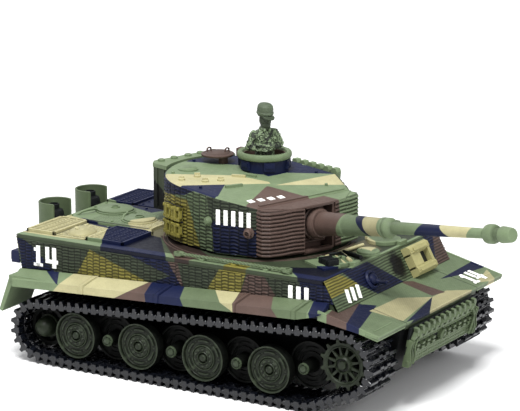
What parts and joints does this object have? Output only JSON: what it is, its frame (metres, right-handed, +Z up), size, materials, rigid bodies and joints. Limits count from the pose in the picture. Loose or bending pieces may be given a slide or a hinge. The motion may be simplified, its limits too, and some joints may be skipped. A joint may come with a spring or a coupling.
{
  "type": "rc tank",
  "caption": "Small-scale radio-controlled heavy tank with a turning turret, an elevating gun, interleaved road wheels and a half figure in the cupola.",
  "frame": {"origin": "on the ground, in the middle of the bounding box seen from above", "axes": "+X forward along the hull, +Y to the tank's left, +Z up; the turret is at rest trained 17.9 degrees to the right with the gun raised 8.3 degrees"},
  "size_m": [0.1116, 0.0514, 0.0498],
  "materials": {
    "painted_green": "matt painted plastic in a splinter camouflage of greens, brown, cream and navy",
    "dark_green": "matt dark green plastic",
    "navy": "matt navy paint",
    "yellow": "matt olive-yellow paint",
    "brown": "matt brown paint",
    "track_black": "black track rubber, slightly shiny",
    "figure_green": "matt green figure",
    "black_plastic": "black plastic",
    "steel": "plated steel",
    "brass": "machined brass",
    "nylon": "white nylon",
    "battery_wrap": "blue battery sleeve",
    "circuit": "green lacquered board"
  },
  "bodies": {
    "hull": {"lower_hull": "dark_green", "upper_hull": "painted_green", "nose_track_rack": "dark_green", "driver_visor": "yellow", "hull_machine_gun": "navy", "battery": "battery_wrap", "circuit_board": "circuit", "battery_door": "dark_green", "door_screw_rear": "steel", "door_screw_front": "steel", "charge_socket": "black_plastic", "turret_motor": "steel", "fender_right": "painted_green", "exhaust_right": "painted_green", "tow_cable_right": "steel", "track_right": "track_black", "drive_motor_right": "steel", "fender_left": "painted_green", "exhaust_left": "painted_green", "tow_cable_left": "steel", "track_left": "track_black", "drive_motor_left": "steel"},
    "power_switch": {"power_switch": "black_plastic"},
    "turret": {"turret_shell": "painted_green", "turret_ring": "black_plastic", "stowage_bin": "dark_green", "spare_links_right": "yellow", "spare_links_left": "painted_green", "cupola": "painted_green", "cupola_lid": "brown", "commander_figure": "figure_green", "mantlet": "brown"},
    "gun": {"gun_mount": "brown", "gun_barrel": "brown", "muzzle_brake": "painted_green"},
    "turret_pinion": {"turret_pinion": "brass"},
    "sprocket_right": {"sprocket_right": "dark_green", "drive_gear_right": "nylon"},
    "motor_pinion_right": {"motor_pinion_right": "brass"},
    "idler_right": {"idler_right": "dark_green"},
    "road_wheel_right_1": {"road_wheel_right_1": "dark_green"},
    "road_wheel_right_2": {"road_wheel_right_2": "dark_green"},
    "road_wheel_right_3": {"road_wheel_right_3": "dark_green"},
    "road_wheel_right_4": {"road_wheel_right_4": "dark_green"},
    "road_wheel_right_5": {"road_wheel_right_5": "dark_green"},
    "road_wheel_right_6": {"road_wheel_right_6": "dark_green"},
    "road_wheel_right_7": {"road_wheel_right_7": "dark_green"},
    "road_wheel_right_8": {"road_wheel_right_8": "dark_green"},
    "sprocket_left": {"sprocket_left": "dark_green", "drive_gear_left": "nylon"},
    "motor_pinion_left": {"motor_pinion_left": "brass"},
    "idler_left": {"idler_left": "dark_green"},
    "road_wheel_left_1": {"road_wheel_left_1": "dark_green"},
    "road_wheel_left_2": {"road_wheel_left_2": "dark_green"},
    "road_wheel_left_3": {"road_wheel_left_3": "dark_green"},
    "road_wheel_left_4": {"road_wheel_left_4": "dark_green"},
    "road_wheel_left_5": {"road_wheel_left_5": "dark_green"},
    "road_wheel_left_6": {"road_wheel_left_6": "dark_green"},
    "road_wheel_left_7": {"road_wheel_left_7": "dark_green"},
    "road_wheel_left_8": {"road_wheel_left_8": "dark_green"}
  },
  "joints": [
    {"name": "power_switch_slide", "type": "slide", "parent": "hull", "child": "power_switch", "axis": [1, 0, 0], "range_m": [0, 0.002]},
    {"name": "turret_traverse", "type": "hinge", "parent": "hull", "child": "turret", "pos_m": [-0.00857, 0, 0.0252], "axis": [0, 0, 1], "range_deg": [-142.1, 177.9]},
    {"name": "turret_pinion_spin", "type": "hinge", "parent": "hull", "child": "turret_pinion", "pos_m": [0.00693, 0, 0.0229], "axis": [0, 0, 1], "range_deg": [-720, 720]},
    {"name": "gun_elevation", "type": "hinge", "parent": "turret", "child": "gun", "pos_m": [-0.00091, -0.00247, 0.0295], "axis": [-0.3074, -0.9516, 0], "range_deg": [-9.3, 1.7]},
    {"name": "sprocket_right_spin", "type": "hinge", "parent": "hull", "child": "sprocket_right", "pos_m": [0.02327, -0.0201, 0.01013], "axis": [0, 1, 0], "continuous": true},
    {"name": "motor_pinion_right_spin", "type": "hinge", "parent": "hull", "child": "motor_pinion_right", "pos_m": [0.01807, -0.01215, 0.009], "axis": [0, 1, 0], "continuous": true},
    {"name": "idler_right_spin", "type": "hinge", "parent": "hull", "child": "idler_right", "pos_m": [-0.04433, -0.0201, 0.00685], "axis": [0, 1, 0], "continuous": true},
    {"name": "road_wheel_right_1_spin", "type": "hinge", "parent": "hull", "child": "road_wheel_right_1", "pos_m": [-0.0358, -0.0201, 0.00685], "axis": [0, 1, 0], "continuous": true},
    {"name": "road_wheel_right_2_spin", "type": "hinge", "parent": "hull", "child": "road_wheel_right_2", "pos_m": [-0.02855, -0.0201, 0.00685], "axis": [0, 1, 0], "continuous": true},
    {"name": "road_wheel_right_3_spin", "type": "hinge", "parent": "hull", "child": "road_wheel_right_3", "pos_m": [-0.02129, -0.0201, 0.00685], "axis": [0, 1, 0], "continuous": true},
    {"name": "road_wheel_right_4_spin", "type": "hinge", "parent": "hull", "child": "road_wheel_right_4", "pos_m": [-0.01404, -0.0201, 0.00685], "axis": [0, 1, 0], "continuous": true},
    {"name": "road_wheel_right_5_spin", "type": "hinge", "parent": "hull", "child": "road_wheel_right_5", "pos_m": [-0.00678, -0.0201, 0.00685], "axis": [0, 1, 0], "continuous": true},
    {"name": "road_wheel_right_6_spin", "type": "hinge", "parent": "hull", "child": "road_wheel_right_6", "pos_m": [0.00047, -0.0201, 0.00685], "axis": [0, 1, 0], "continuous": true},
    {"name": "road_wheel_right_7_spin", "type": "hinge", "parent": "hull", "child": "road_wheel_right_7", "pos_m": [0.00772, -0.0201, 0.00685], "axis": [0, 1, 0], "continuous": true},
    {"name": "road_wheel_right_8_spin", "type": "hinge", "parent": "hull", "child": "road_wheel_right_8", "pos_m": [0.01498, -0.0201, 0.0081], "axis": [0, 1, 0], "continuous": true},
    {"name": "sprocket_left_spin", "type": "hinge", "parent": "hull", "child": "sprocket_left", "pos_m": [0.02327, 0.0201, 0.01013], "axis": [0, 1, 0], "continuous": true},
    {"name": "motor_pinion_left_spin", "type": "hinge", "parent": "hull", "child": "motor_pinion_left", "pos_m": [0.01807, 0.01215, 0.009], "axis": [0, 1, 0], "continuous": true},
    {"name": "idler_left_spin", "type": "hinge", "parent": "hull", "child": "idler_left", "pos_m": [-0.04433, 0.0201, 0.00685], "axis": [0, 1, 0], "continuous": true},
    {"name": "road_wheel_left_1_spin", "type": "hinge", "parent": "hull", "child": "road_wheel_left_1", "pos_m": [-0.0358, 0.0201, 0.00685], "axis": [0, 1, 0], "continuous": true},
    {"name": "road_wheel_left_2_spin", "type": "hinge", "parent": "hull", "child": "road_wheel_left_2", "pos_m": [-0.02855, 0.0201, 0.00685], "axis": [0, 1, 0], "continuous": true},
    {"name": "road_wheel_left_3_spin", "type": "hinge", "parent": "hull", "child": "road_wheel_left_3", "pos_m": [-0.02129, 0.0201, 0.00685], "axis": [0, 1, 0], "continuous": true},
    {"name": "road_wheel_left_4_spin", "type": "hinge", "parent": "hull", "child": "road_wheel_left_4", "pos_m": [-0.01404, 0.0201, 0.00685], "axis": [0, 1, 0], "continuous": true},
    {"name": "road_wheel_left_5_spin", "type": "hinge", "parent": "hull", "child": "road_wheel_left_5", "pos_m": [-0.00678, 0.0201, 0.00685], "axis": [0, 1, 0], "continuous": true},
    {"name": "road_wheel_left_6_spin", "type": "hinge", "parent": "hull", "child": "road_wheel_left_6", "pos_m": [0.00047, 0.0201, 0.00685], "axis": [0, 1, 0], "continuous": true},
    {"name": "road_wheel_left_7_spin", "type": "hinge", "parent": "hull", "child": "road_wheel_left_7", "pos_m": [0.00772, 0.0201, 0.00685], "axis": [0, 1, 0], "continuous": true},
    {"name": "road_wheel_left_8_spin", "type": "hinge", "parent": "hull", "child": "road_wheel_left_8", "pos_m": [0.01498, 0.0201, 0.0081], "axis": [0, 1, 0], "continuous": true}
  ],
  "couplings": [
    {"joint": "turret_pinion_spin", "follows": "turret_traverse", "ratio": -4},
    {"joint": "motor_pinion_right_spin", "follows": "sprocket_right_spin", "ratio": -3.1667},
    {"joint": "idler_right_spin", "follows": "sprocket_right_spin", "ratio": 1.1494},
    {"joint": "road_wheel_right_1_spin", "follows": "sprocket_right_spin", "ratio": 1.0309},
    {"joint": "road_wheel_right_2_spin", "follows": "sprocket_right_spin", "ratio": 1.0309},
    {"joint": "road_wheel_right_3_spin", "follows": "sprocket_right_spin", "ratio": 1.0309},
    {"joint": "road_wheel_right_4_spin", "follows": "sprocket_right_spin", "ratio": 1.0309},
    {"joint": "road_wheel_right_5_spin", "follows": "sprocket_right_spin", "ratio": 1.0309},
    {"joint": "road_wheel_right_6_spin", "follows": "sprocket_right_spin", "ratio": 1.0309},
    {"joint": "road_wheel_right_7_spin", "follows": "sprocket_right_spin", "ratio": 1.0309},
    {"joint": "road_wheel_right_8_spin", "follows": "sprocket_right_spin", "ratio": 1.0309},
    {"joint": "motor_pinion_left_spin", "follows": "sprocket_left_spin", "ratio": -3.1667},
    {"joint": "idler_left_spin", "follows": "sprocket_left_spin", "ratio": 1.1494},
    {"joint": "road_wheel_left_1_spin", "follows": "sprocket_left_spin", "ratio": 1.0309},
    {"joint": "road_wheel_left_2_spin", "follows": "sprocket_left_spin", "ratio": 1.0309},
    {"joint": "road_wheel_left_3_spin", "follows": "sprocket_left_spin", "ratio": 1.0309},
    {"joint": "road_wheel_left_4_spin", "follows": "sprocket_left_spin", "ratio": 1.0309},
    {"joint": "road_wheel_left_5_spin", "follows": "sprocket_left_spin", "ratio": 1.0309},
    {"joint": "road_wheel_left_6_spin", "follows": "sprocket_left_spin", "ratio": 1.0309},
    {"joint": "road_wheel_left_7_spin", "follows": "sprocket_left_spin", "ratio": 1.0309},
    {"joint": "road_wheel_left_8_spin", "follows": "sprocket_left_spin", "ratio": 1.0309}
  ]
}
